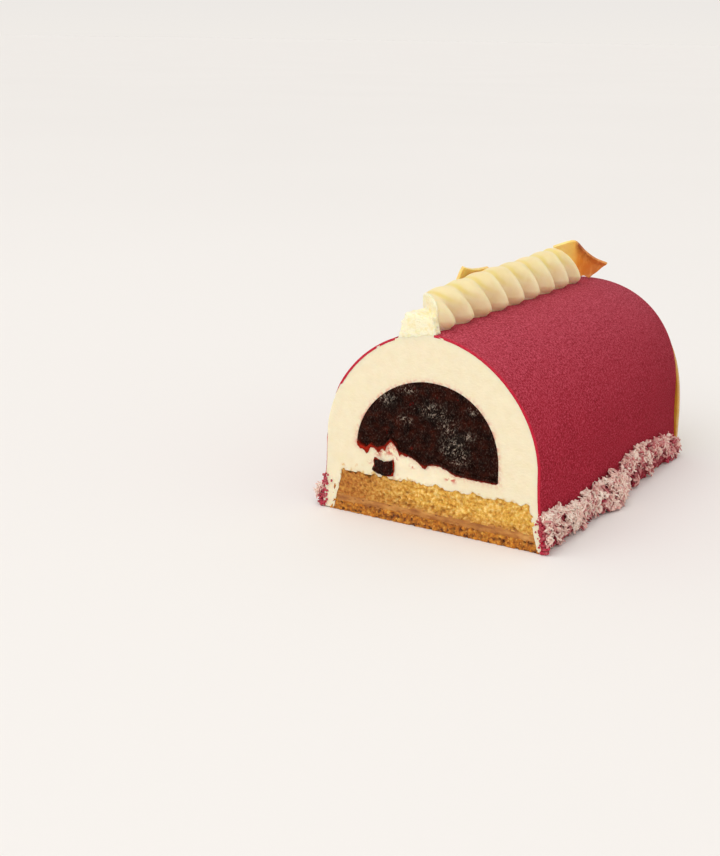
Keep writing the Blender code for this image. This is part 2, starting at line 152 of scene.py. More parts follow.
def cut_with_knife(
    piece, grain, sunk, path=cut_y, low=KNIFE_LOW, high=0.07, left=-0.044, right=0.044, shift=None
):
    """Trims the end of piece along path. sunk(x, z) is how far its crumb tore away behind the blade there.

    shift(x, z) raises the blade's rows, so that one of them follows an uneven edge.
    """
    width, height = right - left, high - low
    middle = ((left + right) / 2, 0, (low + high) / 2)
    across, up = round(width / grain), round(height / grain)
    bpy.ops.mesh.primitive_grid_add(
        x_subdivisions=across, y_subdivisions=up, size=1, location=middle, rotation=(pi / 2, 0, 0)
    )
    bpy.context.object.scale = (width, height, 1)
    blade = begin("knife")
    for point in blade.data.vertices:
        x, _, z = point.co
        z += shift(x, z) if shift else 0.0
        point.co = (x, path(x, z) + sunk(x, z), z)
    start_editing(blade)
    bpy.ops.mesh.extrude_region_move(TRANSFORM_OT_translate={"value": (0, -KNIFE_DEPTH, 0)})
    bpy.ops.mesh.select_all(action="SELECT")
    bpy.ops.mesh.normals_make_consistent(inside=False)
    stop_editing()
    carve(piece, blade)


def base_slab(name, low, high):
    """A layer of the base, left long for the knife to trim."""
    front, back = CUT_END - 0.008, BASE_BACK
    middle = (BASE_MIDDLE, (front + back) / 2, (low + high) / 2)
    bpy.ops.mesh.primitive_cube_add(size=1, location=middle, scale=(1, back - front, high - low))
    slab = begin(name)
    start_editing(slab)
    bpy.ops.mesh.subdivide(number_cuts=6)
    stop_editing()
    for point in slab.data.vertices:
        across = 2 * (point.co.x - BASE_MIDDLE)
        point.co.x = BASE_MIDDLE + across * (base_half_width(point.co.y, max(point.co.z, 0)) + 0.0009)
    return slab


def tone(red, green, blue):
    """A colour as it is seen on a screen, each part from 0 to 255."""
    return [((c / 255 + 0.055) / 1.055) ** 2.4 for c in (red, green, blue)] + [1.0]


def new_finish(name, roughness, glow=(), **sockets):
    """A finish for one kind of food.

    glow is how much of the light sinks into it, how deep, and, if need be, the share of that for red, green
    and blue. Other sockets of its shader are given by name.
    """
    made = bpy.data.materials.new(name)
    made.use_nodes = True
    inputs = made.node_tree.nodes["Principled BSDF"].inputs
    inputs["Roughness"].default_value = roughness
    for socket, value in zip(("Weight", "Scale", "Radius"), glow):
        inputs["Subsurface " + socket].default_value = value
    for socket, value in sockets.items():
        inputs[socket.replace("_", " ")].default_value = value
    return made


def give(made, socket, source):
    """Feeds a node's socket from another node, from what a piece's points store by name, or with a value."""
    if isinstance(source, str):
        stored = new_node(made, "Attribute")
        stored.attribute_name = source
        source = stored.outputs["Fac"]
    if isinstance(source, bpy.types.NodeSocket):
        made.node_tree.links.new(source, socket)
    else:
        socket.default_value = source


def new_node(made, kind, **feeds):
    """A node of that kind, with its sockets fed by name."""
    node = made.node_tree.nodes.new("ShaderNode" + kind)
    for socket, source in feeds.items():
        give(made, node.inputs[socket.replace("_", " ")], source)
    return node


def laid_on(made, size, stretch):
    """The piece's own coordinates, scaled so that one unit is size."""
    place = new_node(made, "TexCoord").outputs["Object"]
    return new_node(made, "Mapping", Vector=place, Scale=[1 / (size * s) for s in stretch]).outputs["Vector"]


def mottle(made, size, detail=2.0, stretch=(1, 1, 1)):
    """Cloudy noise whose patches are of that size."""
    place = laid_on(made, size, stretch)
    return new_node(made, "TexNoise", Vector=place, Scale=1.0, Detail=detail).outputs["Fac"]


def cells(made, size, stretch=(1, 1, 1)):
    """0 at the middle of scattered cells of that size, rising towards their edges."""
    return new_node(made, "TexVoronoi", Vector=laid_on(made, size, stretch), Scale=1.0).outputs["Distance"]


def worked(made, node, how, first, second):
    """What a node for arithmetic makes of two values: their sum, their product and so on."""
    working = new_node(made, node)
    working.operation = how
    give(made, working.inputs[0], first)
    give(made, working.inputs[1], second)
    return working


def times(made, *values):
    """All these values multiplied."""
    product = values[0]
    for value in values[1:]:
        product = worked(made, "Math", "MULTIPLY", product, value).outputs[0]
    return product


def measured(made, way, start, end):
    """0 where the distance along way is start, rising to 1 at end."""
    place = new_node(made, "TexCoord").outputs["Object"]
    distance = worked(made, "VectorMath", "DOT_PRODUCT", place, way).outputs["Value"]
    return new_node(made, "MapRange", Value=distance, From_Min=start, From_Max=end).outputs["Result"]


def shades(made, value, *stops):
    """Colours along value. Each stop is its place and a grey level, the parts of a tone, or a full colour."""
    ramp = new_node(made, "ValToRGB", Fac=value)
    marks = ramp.color_ramp.elements
    marks.remove(marks[1])
    marks[0].position = stops[0][0]
    for place, *_ in stops[1:]:
        marks.new(place)
    for mark, (_, *colour) in zip(marks, stops):
        if len(colour) == 3:
            colour = tone(*colour)
        mark.color = colour if len(colour) == 4 else colour * 3 + [1.0]
    return ramp.outputs["Color"]


def mottled(made, size, detail, *stops, stretch=(1, 1, 1)):
    """Colours in cloudy patches of that size."""
    return shades(made, mottle(made, size, detail, stretch), *stops)


def lay(made, colour, *shares):
    """Lays a colour on the finish: all over, or over what it has by the product of these shares."""
    base = made.node_tree.nodes["Principled BSDF"].inputs["Base Color"]
    if shares:
        mix = new_node(made, "Mix", Factor=times(made, *shares))
        mix.data_type = "RGBA"
        give(made, mix.inputs[6], base.links[0].from_socket)
        give(made, mix.inputs[7], tone(*colour) if isinstance(colour, tuple) else colour)
        colour = mix.outputs[2]
    give(made, base, colour)


def raised(made, depth, size, detail=2.0, stretch=(1, 1, 1), *shares):
    """Adds cloudy relief to the finish, as deep as depth, on top of any that it has."""
    normal = made.node_tree.nodes["Principled BSDF"].inputs["Normal"]
    height = times(made, mottle(made, size, detail, stretch), *shares)
    relief = new_node(made, "Bump", Distance=depth, Height=height)
    if normal.is_linked:
        give(made, relief.inputs["Normal"], normal.links[0].from_socket)
    give(made, normal, relief.outputs["Normal"])


def store(piece, name, values):
    """Stores a value for each point of piece."""
    piece.data.attributes.new(name, "FLOAT", "POINT").data.foreach_set("value", values)


def mark_points(piece, name, value):
    """Stores value(x, y, z) at each point of piece."""
    store(piece, name, [value(*point.co) for point in piece.data.vertices])


def complete(piece, made, solid, smooth=35):
    """Finishes a piece: its material, its shading, and the solid of the cake that it stands for."""
    piece.data.materials.clear()
    piece.data.materials.append(made)
    take_up(piece)
    bpy.ops.object.shade_smooth_by_angle(angle=radians(smooth))
    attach(piece, "root")
    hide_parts(solid)


def biscuit_crumb(x, z):
    at = (x, 0.0, z)
    coarse = 0.00045 * patch(at, 0.0017) + 0.0003 * patch(at, 0.0008, 2.0)
    return 0.0001 + coarse + 0.0008 * hole(at, 0.0021, 0.34) + 0.0002 * patch(at, 0.0005)


biscuit = base_slab("biscuit_crumb", 0.0, BISCUIT_TOP)
cut_with_knife(biscuit, 0.00032, biscuit_crumb, high=0.006)
# painted shade: the deeper a point of the crumb lies behind the cut, down in a pit, the darker it is painted
mark_points(biscuit, "pit_shade", lambda x, y, z: held((y - cut_y(x, z)) / 0.0008))

baked = new_finish("baked_biscuit", 0.8, (0.15, 0.0006))
browned = (0.34, 88, 38, 2), (0.45, 176, 102, 16), (0.57, 202, 126, 24), (0.72, 230, 167, 66)
lay(baked, mottled(baked, 0.0014, 4.0, *browned))
lay(baked, (236, 178, 84), shades(baked, cells(baked, 0.0014), (0.12, 0.7), (0.26, 0.0)))
# painted shade in the pits of the crumb
lay(baked, (74, 34, 4), "pit_shade")
raised(baked, 0.00025, 0.0004, 3.0)
complete(biscuit, baked, "biscuit")


# ---------------- the praline
# A thin smooth layer of nut praline, spread on the biscuit while soft and set in the cold. The knife has
# smeared it, so its cut is smoother than the crumb above and below.


def praline_smear(x, z):
    at = (x, 0.0, z * 2.2)
    return 0.0003 + 0.0002 * patch(at, 0.003) + 0.00012 * patch(at, 0.001) + 0.0006 * hole(at, 0.0034, 0.3)


praline = base_slab("praline_layer", BISCUIT_TOP - 0.0004, PRALINE_TOP)
cut_with_knife(praline, 0.0004, praline_smear, low=0.001, high=0.009)

nutty = new_finish("nut_praline", 0.55, (0.1, 0.0005))
smear = (0.32, 148, 86, 28), (0.5, 182, 118, 48), (0.7, 210, 152, 76)
lay(nutty, mottled(nutty, 0.0022, 3.0, *smear, stretch=(2.5, 1, 1)))
pores = shades(nutty, cells(nutty, 0.0019, (1.6, 1, 1)), (0.1, 0.8), (0.2, 0.0))
lay(nutty, (112, 58, 12), pores)
raised(nutty, 0.00012, 0.0006, 2.0, (2, 1, 1))
complete(praline, nutty, "praline")


# ---------------- the sponge
# A golden sponge, cut from a sheet that was baked thin. Its crumb is open and uneven, with dark pores, and
# it crumbles along the top where the mousse has set on to it.


def sponge_edge(x):
    """Height of the sponge's uneven upper edge at the cut: lower at its left, where it crumbled."""
    towards_left = held((-x - 0.006) / 0.02)
    wavy = 0.0008 * patch((x, 0, 0), 0.005) + 0.0008 * patch((x, 0, 3), 0.0018)
    wavy += 0.0006 * patch((x, 0, 9), 0.001)
    return SPONGE_TOP - 0.0002 - 0.0007 * towards_left + wavy * (1 + 1.1 * towards_left)


def sponge_crumb(x, z):
    at = (x, 0.0, z)
    wide = (x * 0.7, 0.0, z)
    open_crumb = 0.001 * hole(wide, 0.0036, 0.24) + 0.0006 * hole(wide, 0.0018, 0.26)
    coarse = 0.0004 * patch(at, 0.0028) + 0.00042 * patch(at, 0.0013, 2.0)
    beyond = min(0.004, 8 * max(0.0, z - sponge_edge(x)))
    return 0.0002 + coarse + 0.00024 * patch(at, 0.0006, 4.0) + open_crumb + beyond


sponge = base_slab("sponge_crumb", PRALINE_TOP - 0.0006, SPONGE_TOP + 0.0009)
cut_with_knife(sponge, 0.00028, sponge_crumb, low=0.004, high=0.019)
# painted shade: the deeper a point of the crumb lies behind the cut, down in a pore, the darker it is painted
mark_points(sponge, "pit_shade", lambda x, y, z: held((y - cut_y(x, z) - 0.0002) / 0.0011))
# the cut of the sponge is painted darker towards the left
mark_points(sponge, "towards_left", lambda x, y, z: held((-x - 0.002) / 0.028))

golden = new_finish("golden_sponge", 0.75, (0.2, 0.0008))
grain = mottle(golden, 0.0011, 7.0)
crumb = (0.28, 166, 104, 14), (0.39, 208, 149, 45), (0.52, 229, 177, 74), (0.68, 250, 215, 130)
lay(golden, shades(golden, grain, *crumb))
darker = shades(golden, grain, (0.28, 126, 66, 0), (0.42, 172, 100, 20), (0.66, 206, 144, 58))
# darker towards the left
lay(golden, darker, "towards_left")
lay(golden, darker, measured(golden, (0, 0, 1), 0.009, 0.0062), 0.6)
# painted shade in the pores of the crumb
lay(golden, (134, 74, 4), "pit_shade", 0.8)
raised(golden, 0.0003, 0.00045, 3.0)
complete(sponge, golden, "sponge")


# ---------------- the compote core
# A bar of dark berry compote, set with pectin in its own mould and laid into the mousse. Its cut is wet,
# lumpy and almost black, and the knife tore its underside into red rags and dragged out one scrap.

CORE_CROWN, CORE_LEFT, CORE_RIGHT = 0.0003, 0.028, 0.0252
CORE_LEFT_POWER, CORE_RIGHT_POWER = 1.88, 2.15
CORE_FOOT, CORE_SHOULDER, CORE_TOP = 0.0208, 0.0258, 0.0511
CORE_BACK = FAR_END - 0.0091
TORN_DEPTH = 0.008
CORE_AROUND = 128  # points round the compote's outline
TORN_EDGE = (  # X and height of the torn underside at the cut
    (-0.0290, 0.0262), (-0.0265, 0.0249), (-0.0240, 0.0240), (-0.0221, 0.0256), (-0.0195, 0.0250),
    (-0.0166, 0.0262), (-0.0144, 0.0288), (-0.0128, 0.0276), (-0.0110, 0.0252), (-0.0081, 0.0250),
    (-0.0058, 0.0243), (-0.0030, 0.0226), (-0.0012, 0.0222), (0.0012, 0.0232), (0.0040, 0.0233),
    (0.0066, 0.0226), (0.0105, 0.0211), (0.0150, 0.0209), (0.0270, 0.0208),
)


def torn_edge(x, y):
    """Height of the compote's underside: flat inside the log, torn upwards at the cut."""
    near = held(1 - (y - cut_y(x, CORE_FOOT)) / TORN_DEPTH)
    torn = float(np.interp(x, *zip(*TORN_EDGE)))
    return CORE_FOOT + (torn - CORE_FOOT) * near**1.5


def core_outline(share, y, grow):
    """A point (x, z) of the compote's outline, share of the way round it from its lower right corner."""
    right, left = CORE_RIGHT + grow, CORE_LEFT + grow
    rise = CORE_TOP + grow - CORE_SHOULDER
    if share < 0.6:
        angle = pi * share / 0.6
        half, power = (right, CORE_RIGHT_POWER) if angle < pi / 2 else (left, CORE_LEFT_POWER)
        c, s = cos(angle), sin(angle)
        x = CORE_CROWN + copysign(abs(c) ** (2 / power), c) * half
        return x, CORE_SHOULDER + abs(s) ** (2 / power) * rise
    x = CORE_CROWN - left + (left + right) * (share - 0.6) / 0.4
    return x, torn_edge(x, y) - grow


def slice_at(piece, axis, stations):
    """Cuts the faces of piece in two at each of these stations along an axis."""
    start_editing(piece)
    for station in stations:
        bpy.ops.mesh.select_all(action="SELECT")
        bpy.ops.mesh.bisect(plane_co=[station * a for a in axis], plane_no=axis)
    stop_editing()


def core_bar(name, grow, front, back):
    """The compote, or its bed in the mousse when grow is less than nothing, as a bar along the log."""
    middle = (0, (front + back) / 2, 0)
    bpy.ops.mesh.primitive_cylinder_add(
        vertices=CORE_AROUND, radius=0.02, depth=back - front, location=middle, rotation=(pi / 2, 0, 0)
    )
    bar = begin(name)
    torn = (0.0, 0.0015, 0.003, 0.0055, TORN_DEPTH + 0.001)
    slice_at(bar, (0, 1, 0), [cut_y(0.0, CORE_FOOT) + behind for behind in torn])
    for point in bar.data.vertices:
        share = (atan2(point.co.z, point.co.x) / tau) % 1.0
        point.co.x, point.co.z = core_outline(share, point.co.y, grow)
    return bar


def beside_core(x, z):
    """How far a point of the cut lies outside the compote's arch, as a share of its size."""
    half, power = (CORE_RIGHT, CORE_RIGHT_POWER) if x > CORE_CROWN else (CORE_LEFT, CORE_LEFT_POWER)
    rise = CORE_TOP - CORE_SHOULDER
    up = max(0.0, z - CORE_SHOULDER)
    return (abs((x - CORE_CROWN) / half) ** power + (up / rise) ** power) ** (1 / power) - 1


def wet_lumps(x, z):
    at = (x, 0.0, z)
    inside = held(-beside_core(x, z) / 0.1)
    drag = (x * 0.8 + z * 0.5, 0.0, z * 2.4 - x * 0.7)
    lumps = 0.0007 * patch(at, 0.006, 2.0) + 0.0006 * patch(drag, 0.003, 7.0)
    fine = 0.0004 * patch(at, 0.0015, 1.0) + 0.0002 * patch(at, 0.0007, 3.0)
    return 0.0003 + inside * (lumps + fine + 0.0009 * hole(at, 0.0044, 0.35))


core = core_bar("berry_core", 0.0003, CUT_END - 0.01, CORE_BACK)
cut_with_knife(core, 0.00036, wet_lumps, low=0.017, high=0.054, left=-0.03, right=0.03)

RAGS = (  # X, width and length
    (-0.0262, 0.0008, 0.0004), (-0.0236, 0.0008, 0.0018), (-0.0192, 0.0009, 0.0012),
    (-0.0166, 0.0005, 0.0016), (-0.0112, 0.0007, 0.0012), (-0.0086, 0.0008, 0.0008),
    (-0.0017, 0.0009, 0.0012), (0.0090, 0.0016, 0.0003),
)


def rag_reach(x):
    """How far a red rag of torn compote hangs below the torn edge at x."""
    reach = sum(far * exp(-(((x - middle) / width) ** 2)) for middle, width, far in RAGS)
    return 0.0004 + reach * (0.8 + 0.6 * patch((x, 0, 0), 0.0007)) + 0.0003 * patch((x, 0, 1), 0.0006)


bpy.ops.mesh.primitive_grid_add(x_subdivisions=170, y_subdivisions=8, size=1)
rags = begin("rags")
for point in rags.data.vertices:
    x = -0.0276 + (point.co.x + 0.5) * 0.0526
    down = 0.5 - point.co.y
    z = torn_edge(x, cut_y(x, CORE_FOOT)) + 0.0012 - (0.0012 + max(0.0002, rag_reach(x))) * down
    lift = 0.0001 + 0.00028 * sin(pi * down**0.7) + 0.0002 * patch((x, 0, z), 0.0012)
    point.co = (x, cut_y(x, z) - lift, z)
modify(rags, "SOLIDIFY", thickness=0.0005, offset=-1.0)
modify(rags, "SUBSURF", levels=1, render_levels=1)


def thin_rag(x, y, z):
    """1 where the compote is a thin red film, 0 in its dark body."""
    below = torn_edge(x, cut_y(x, CORE_FOOT)) - z
    torn = held((-0.008 - x) / 0.006) + held((-0.02 - x) / 0.004)
    return held((below + 0.0004 + 0.0006 * torn) / 0.001)


take_up(core)
rags.select_set(True)
bpy.ops.object.join()
mark_points(core, "thin", thin_rag)

# X, height, and the size across and up of the whole berries, and of the places that glisten most, where
# painted highlights gather
WHOLE_BERRIES = (
    (0.0020, 0.0410, 0.0066, 0.0034), (0.0096, 0.0308, 0.0060, 0.0050), (-0.0150, 0.0425, 0.0040, 0.0032),
)
GLINT_PLACES = (
    (0.0008, 0.0417, 0.0056, 0.0026), (0.0071, 0.0372, 0.0036, 0.0022), (0.0092, 0.0304, 0.0046, 0.0038),
    (0.0120, 0.0262, 0.0040, 0.0018), (-0.0162, 0.0435, 0.0028, 0.0022), (-0.0085, 0.0471, 0.0034, 0.0014),
    (-0.0093, 0.0366, 0.0026, 0.0018), (0.0151, 0.0349, 0.0018, 0.0016), (0.0156, 0.0437, 0.0022, 0.0012),
)


def in_places(x, z, places):
    """1 in the middle of these places on the cut, falling to 0 round them."""
    near = [((x - across) / wide) ** 2 + ((z - up) / tall) ** 2 for across, up, wide, tall in places]
    return min(1.0, sum(exp(-(d**1.5)) for d in near))


mark_points(core, "berry", lambda x, y, z: in_places(x, z, WHOLE_BERRIES))
# where the painted highlights gather on the cut
mark_points(core, "glint", lambda x, y, z: in_places(x, z, GLINT_PLACES))

compote = new_finish("berry_compote", 0.3, (0.1, 1.0, (0.0012, 0.0002, 0.0001)), Specular_IOR_Level=0.03)
lay(compote, mottled(compote, 0.0034, 6.0, (0.3, 18, 4, 1), (0.52, 38, 11, 4), (0.74, 60, 20, 9)))
lay(compote, (17, 11, 8), "berry", 0.8)
# painted highlights: pale glints as fine specks and thin curved ridges, most where the compote glistens
shine = times(compote, "glint", 0.75, mottled(compote, 0.0017, 3.0, (0.44, 0.15), (0.6, 1.0)))
glint_ridges = mottled(compote, 0.003, 3.0, (0.474, 0.0), (0.5, 0.75), (0.526, 0.0), stretch=(0.8, 1.0, 1.3))
glint_specks = mottled(compote, 0.0005, 4.0, (0.54, 0.0), (0.68, 1.0), stretch=(0.8, 1.0, 1.5))
glint_specks = times(compote, glint_specks, worked(compote, "Math", "ADD", shine, 0.07).outputs[0])
glints = worked(compote, "Math", "MAXIMUM", glint_specks, times(compote, glint_ridges, shine)).outputs[0]
# the painted highlights laid on the dark compote
lay(compote, (212, 193, 174), glints)
lay(compote, (104, 16, 12), mottled(compote, 0.0046, 4.0, (0.68, 0.0), (0.73, 0.6)))
lay(compote, (168, 36, 18), mottled(compote, 0.0016, 3.0, (0.36, 0.45), (0.58, 1.0)), "thin")
raised(compote, 0.0006, 0.0012, 3.0)
raised(compote, 0.0001, 0.0003)
complete(core, compote, "berry_insert", smooth=60)

SCRAP_X, SCRAP_Z = -0.0172, 0.019
SCRAP_CORNERS = (  # X and height
    (-0.0136, 0.0165), (-0.0131, 0.0194), (-0.0134, 0.0222), (-0.0152, 0.0212), (-0.0172, 0.0206),
    (-0.0190, 0.0211), (-0.0207, 0.0220), (-0.0208, 0.0192), (-0.0216, 0.0174), (-0.0183, 0.0163),
    (-0.0158, 0.0160),
)


def scrap_reach(angle):
    """How far the scrap reaches from its middle in that direction across the cut."""
    corners = [(x - SCRAP_X, z - SCRAP_Z) for x, z in SCRAP_CORNERS]
    ways = [atan2(z, x) % tau for x, z in corners]
    return float(np.interp(angle % tau, ways, [hypot(*c) for c in corners], period=tau))


bpy.ops.mesh.primitive_ico_sphere_add(subdivisions=5, radius=1.0)
scrap = begin("compote_scrap")
for point in scrap.data.vertices:
    x, y, z = point.co
    angle, out = atan2(z, x), hypot(x, z)
    reach = scrap_reach(angle) * out**0.8 * (1 + 0.06 * patch((x, y, z), 0.3))
    x, z = SCRAP_X + reach * cos(angle), SCRAP_Z + reach * sin(angle)
    deep = 0.0005 + 0.0003 * patch((x, 0, z), 0.0014) - 0.0005 * out**4
    point.co = (x, cut_y(x, z) + deep + 0.0014 * y, z)


def scrap_rim(x, y, z):
    """1 on the scrap's thin red rim, 0 inside it."""
    across, up = x - SCRAP_X, z - SCRAP_Z
    return hypot(across, up) / scrap_reach(atan2(up, across)) > 0.92 + 0.25 * patch((x, 0, z), 0.0022)


mark_points(scrap, "thin", scrap_rim)
complete(scrap, compote, "berry_scrap", smooth=60)


# ---------------- the mousse
# A pale vanilla mousse, poured into the mould round the core and over the base and frozen to set. Cut, it is
# matt with fine pores, tinged pink beside the compote, and rough and whiter where the compote tore away.

HALF_WIDTH, FAR_HALF_WIDTH, ARCH_RISE = 0.04, 0.0389, 0.0406
ARCH_POWER, FAR_ARCH_POWER = 1.86, 2.2  # the arch is rounder at the cut and fuller at the far end
COAT = 0.0008
FLOOR_CLEARANCE = 0.0008
MOUSSE_GRAIN = 0.00048


def half_at(y):
    """Half the width of the log above its foot."""
    return HALF_WIDTH + (FAR_HALF_WIDTH - HALF_WIDTH) * along(y)


def power_at(y):
    """How full the arch's shoulders are."""
    return ARCH_POWER + (FAR_ARCH_POWER - ARCH_POWER) * along(y)


def arch_z(x, y=CUT_END):
    """Height of the log's arch at a point along and across it."""
    share = min(1.0, abs(x) / half_at(y))
    return SIDE_HEIGHT + ARCH_RISE * (1 - share ** power_at(y)) ** (1 / power_at(y))


def pick_edges(piece, wanted):
    """Selects, in edit mode, the edges of piece whose two ends pass wanted(a, b)."""
    take_up(piece)
    bpy.ops.object.mode_set(mode="EDIT")
    bpy.ops.mesh.select_mode(type="EDGE")
    bpy.ops.mesh.select_all(action="DESELECT")
    bpy.ops.object.mode_set(mode="OBJECT")
    for edge in piece.data.edges:
        edge.select = wanted(*(piece.data.vertices[i].co for i in edge.vertices))
    bpy.ops.object.mode_set(mode="EDIT")


def log_bar(name, inset, foot, front, back):
    """A bar in the shape of the mould, inset inside the log's skin."""
    half = HALF_WIDTH - inset
    top = SIDE_HEIGHT + half
    middle = (0, (front + back) / 2, (foot + top) / 2)
    bpy.ops.mesh.primitive_cube_add(size=1, location=middle, scale=(2 * half, back - front, top - foot))
    bar = begin(name)
    pick_edges(bar, lambda a, b: min(a.z, b.z) > top - 1e-6 and abs(a.x - b.x) < 1e-6)
    bpy.ops.mesh.bevel(offset=half * 0.9999, segments=34, profile=0.5 ** (2 / ARCH_POWER), affect="EDGES")
    bpy.ops.mesh.select_all(action="SELECT")
    bpy.ops.mesh.remove_doubles(threshold=1e-5)
    stop_editing()
    slice_at(bar, (0, 0, 1), (0.003, 0.007, 0.012, 0.018, 0.0235))
    slice_at(bar, (0, 1, 0), np.linspace(front, back, 6)[1:-1])
    for point in bar.data.vertices:
        x, y, z = point.co
        across, up = abs(x) / half, (z - SIDE_HEIGHT) / half
        if up > 0:
            pull = (across ** power_at(y) + up ** power_at(y)) ** (-1 / power_at(y))
            across, point.co.z = across * pull, SIDE_HEIGHT + up * pull * (ARCH_RISE - inset)
        point.co.x = copysign(across * (half_at(y) - inset) + min(1.0, across) * spread_at(y, z), x)
    return bar


def torn_zone(x, z):
    """1 on the rough mousse below the torn edge of the compote, 0 away from it."""
    across = held((x + 0.023) / 0.003) * held((0.008 - x) / 0.006)
    below = torn_edge(x, cut_y(x, CORE_FOOT)) - z
    return across * held((below + 0.001) / 0.001) * held((z - 0.015) / 0.002)


def mousse_pores(x, z):
    at = (x, 0.0, z)
    smooth = 0.00008 * patch(at, 0.006) + 0.00005 * patch(at, 0.0013) + 0.0002 * hole(at, 0.0024, 0.18)
    rough = 0.0005 * patch(at, 0.004, 5.0) + 0.0002 * patch(at, 0.0013, 6.0) + 0.0002
    covered = (0.0013 if x < 0 else 0.0003) + 0.0007 * patch((x * 0.3, 0, z), 0.0022, 7.0)
    over_base = abs(x - BASE_MIDDLE) < base_half_width(CUT_END, z) - covered
    bared = min(0.003, max(0.0, 8 * (sponge_edge(x) - z))) if over_base else 0.0
    return 0.00004 + smooth + torn_zone(x, z) * rough + bared


def along_sponge(x, z):
    """How far to raise the blade's rows so that one of them follows the sponge's edge."""
    row = round((SPONGE_TOP - KNIFE_LOW) / MOUSSE_GRAIN) * MOUSSE_GRAIN + KNIFE_LOW
    return (sponge_edge(x) - row) * exp(-(((z - row) / 0.0025) ** 2))


mousse = log_bar("mousse_bar", COAT - 0.0004, 0.0003, CUT_END - 0.01, FAR_END - COAT)
bed = base_slab("base_bed", -0.006, SPONGE_TOP - 0.0007)
for point in bed.data.vertices:
    wavy = 0.0005 * patch(point.co, 0.005) + 0.0004 * patch(point.co, 0.0021)
    point.co.x -= copysign(0.0009 + wavy + (0.0008 if point.co.x < 0 else 0.0), point.co.x - BASE_MIDDLE)
    point.co.y += 0.0002 if point.co.y > 0 else -0.006
carve(mousse, bed)
carve(mousse, core_bar("core_bed", 0.0, CUT_END - 0.016, CORE_BACK - 0.0002))
cut_with_knife(mousse, MOUSSE_GRAIN, mousse_pores, shift=along_sponge)


def pink(x, y, z):
    """Juice of the compote in the mousse beside it."""
    near = beside_core(x, z)
    if z > CORE_SHOULDER:
        return exp(-((max(0.0, near) / 0.03) ** 1.2))
    below = torn_edge(x, cut_y(x, CORE_FOOT)) - z
    beyond = max(x - CORE_RIGHT - CORE_CROWN, -CORE_LEFT + CORE_CROWN - x, 0.0)
    return exp(-((hypot(max(0.0, below), beyond) / 0.001) ** 1.2))


SMEARS = (  # X, height and size
    (-0.0186, 0.0236, 0.0018), (-0.0148, 0.0246, 0.0016), (-0.0066, 0.0146, 0.0016), (0.0092, 0.0192, 0.0013),
    (-0.0125, 0.0160, 0.0012), (0.0070, 0.0190, 0.0008), (-0.0225, 0.0200, 0.0008), (-0.0128, 0.0225, 0.0010),
    (-0.0060, 0.0212, 0.0010),
)


def stain(x, y, z):
    """1 in the middle of the red smears of compote, falling to 0 round them."""
    away = [hypot(x - across, (z - up) * 1.3) / size for across, up, size in SMEARS]
    return min(1.0, sum(exp(-(d**2)) for d in away))


def sponge_crumbs(x, y, z):
    """Loose crumbs that the knife dragged up on to the mousse from the sponge's edge, most at its left."""
    above = (z - sponge_edge(x)) / (0.0006 + 0.0016 * held((-x - 0.004) / 0.022))
    if abs(x - BASE_MIDDLE) > BASE_HALF_WIDTH - 0.001 or above < -1:
        return 0.0
    return held(0.9 - above + 2.0 * patch((x, 0, z), 0.0016))


mark_points(mousse, "crumbs", sponge_crumbs)
mark_points(mousse, "pink", pink)
mark_points(mousse, "stain", stain)
mark_points(mousse, "torn", lambda x, y, z: torn_zone(x, z))

vanilla = new_finish("vanilla_mousse", 0.6, (0.35, 1.0, (0.003, 0.0018, 0.0009)))
plain = (0.3, 239, 225, 191), (0.5, 241, 228, 196), (0.7, 243, 231, 200)
lay(vanilla, mottled(vanilla, 0.003, 6.0, *plain))
lay(vanilla, (248, 234, 203), "torn")
lay(vanilla, (226, 150, 128), "pink", mottled(vanilla, 0.0011, 3.0, (0.42, 0.15), (0.62, 1.0)))
lay(vanilla, (202, 84, 58), "stain", mottled(vanilla, 0.0013, 4.0, (0.46, 0.0), (0.56, 1.0)))
lay(vanilla, (224, 174, 92), "crumbs", mottled(vanilla, 0.0012, 4.0, (0.46, 0.1), (0.6, 0.9)))
raised(vanilla, 0.00016, 0.0007, 4.0)
complete(mousse, vanilla, "mousse", smooth=50)


# ---------------- the velvet coat
# Raspberry-coloured cocoa butter, sprayed on the frozen log, where it sets at once in a fine velvet grain.
# At the cut its edge shows as a thin bright line, smeared over by mousse on the left.

coat = log_bar("sprayed_coat", 0.0, FLOOR_CLEARANCE, CUT_END - 0.01, FAR_END)


def on_far_rim(a, b):
    """True for the edges round the far end of the log, but not those across it or under it."""
    if min(a.y, b.y) < FAR_END - 1e-6 or max(a.z, b.z) < FLOOR_CLEARANCE + 1e-6:
        return False
    middle = (a + b) / 2
    half = half_at(middle.y) + spread_at(middle.y, middle.z)
    return abs(middle.x) > half - 0.0001 or middle.z > arch_z(middle.x, middle.y) - 0.0002


pick_edges(coat, on_far_rim)
bpy.ops.mesh.bevel(offset=0.0007, segments=3, affect="EDGES")
stop_editing()


def left_smear(x, z):
    """How far the coat's edge is buried by mousse: bare on the right, broken on the left."""
    at = (x, 0.0, z)
    ragged = 0.00007 * patch(at, 0.0009) + 0.00008 * patch(at, 0.003, 3.0)
    if x > -0.0125 and z > 0.06 and x < 0.0015:  # under the dragged cream
        return 0.0012
    if x > 0:
        return ragged - 0.00002
    buried = exp(-(((z - 0.035) / 0.009) ** 4))
    low = held((0.027 - z) / 0.004)
    return ragged * 2 - 0.00005 + 0.0011 * buried + 0.0004 * low


cut_with_knife(coat, 0.0005, left_smear)
carve(coat, log_bar("coat_inside", COAT, FLOOR_CLEARANCE - 0.005, CUT_END - 0.02, FAR_END - COAT))

# painted light: the coat is painted lighter and paler towards the top, where the light falls on it
mark_points(coat, "top_sheen", lambda x, y, z: (max(0.0, z - 0.026) / 0.041) ** 1.6)
# painted shade: the coat darkens towards the far end of the log
mark_points(coat, "rear_shade", lambda x, y, z: y / LOG_LENGTH + 0.5)

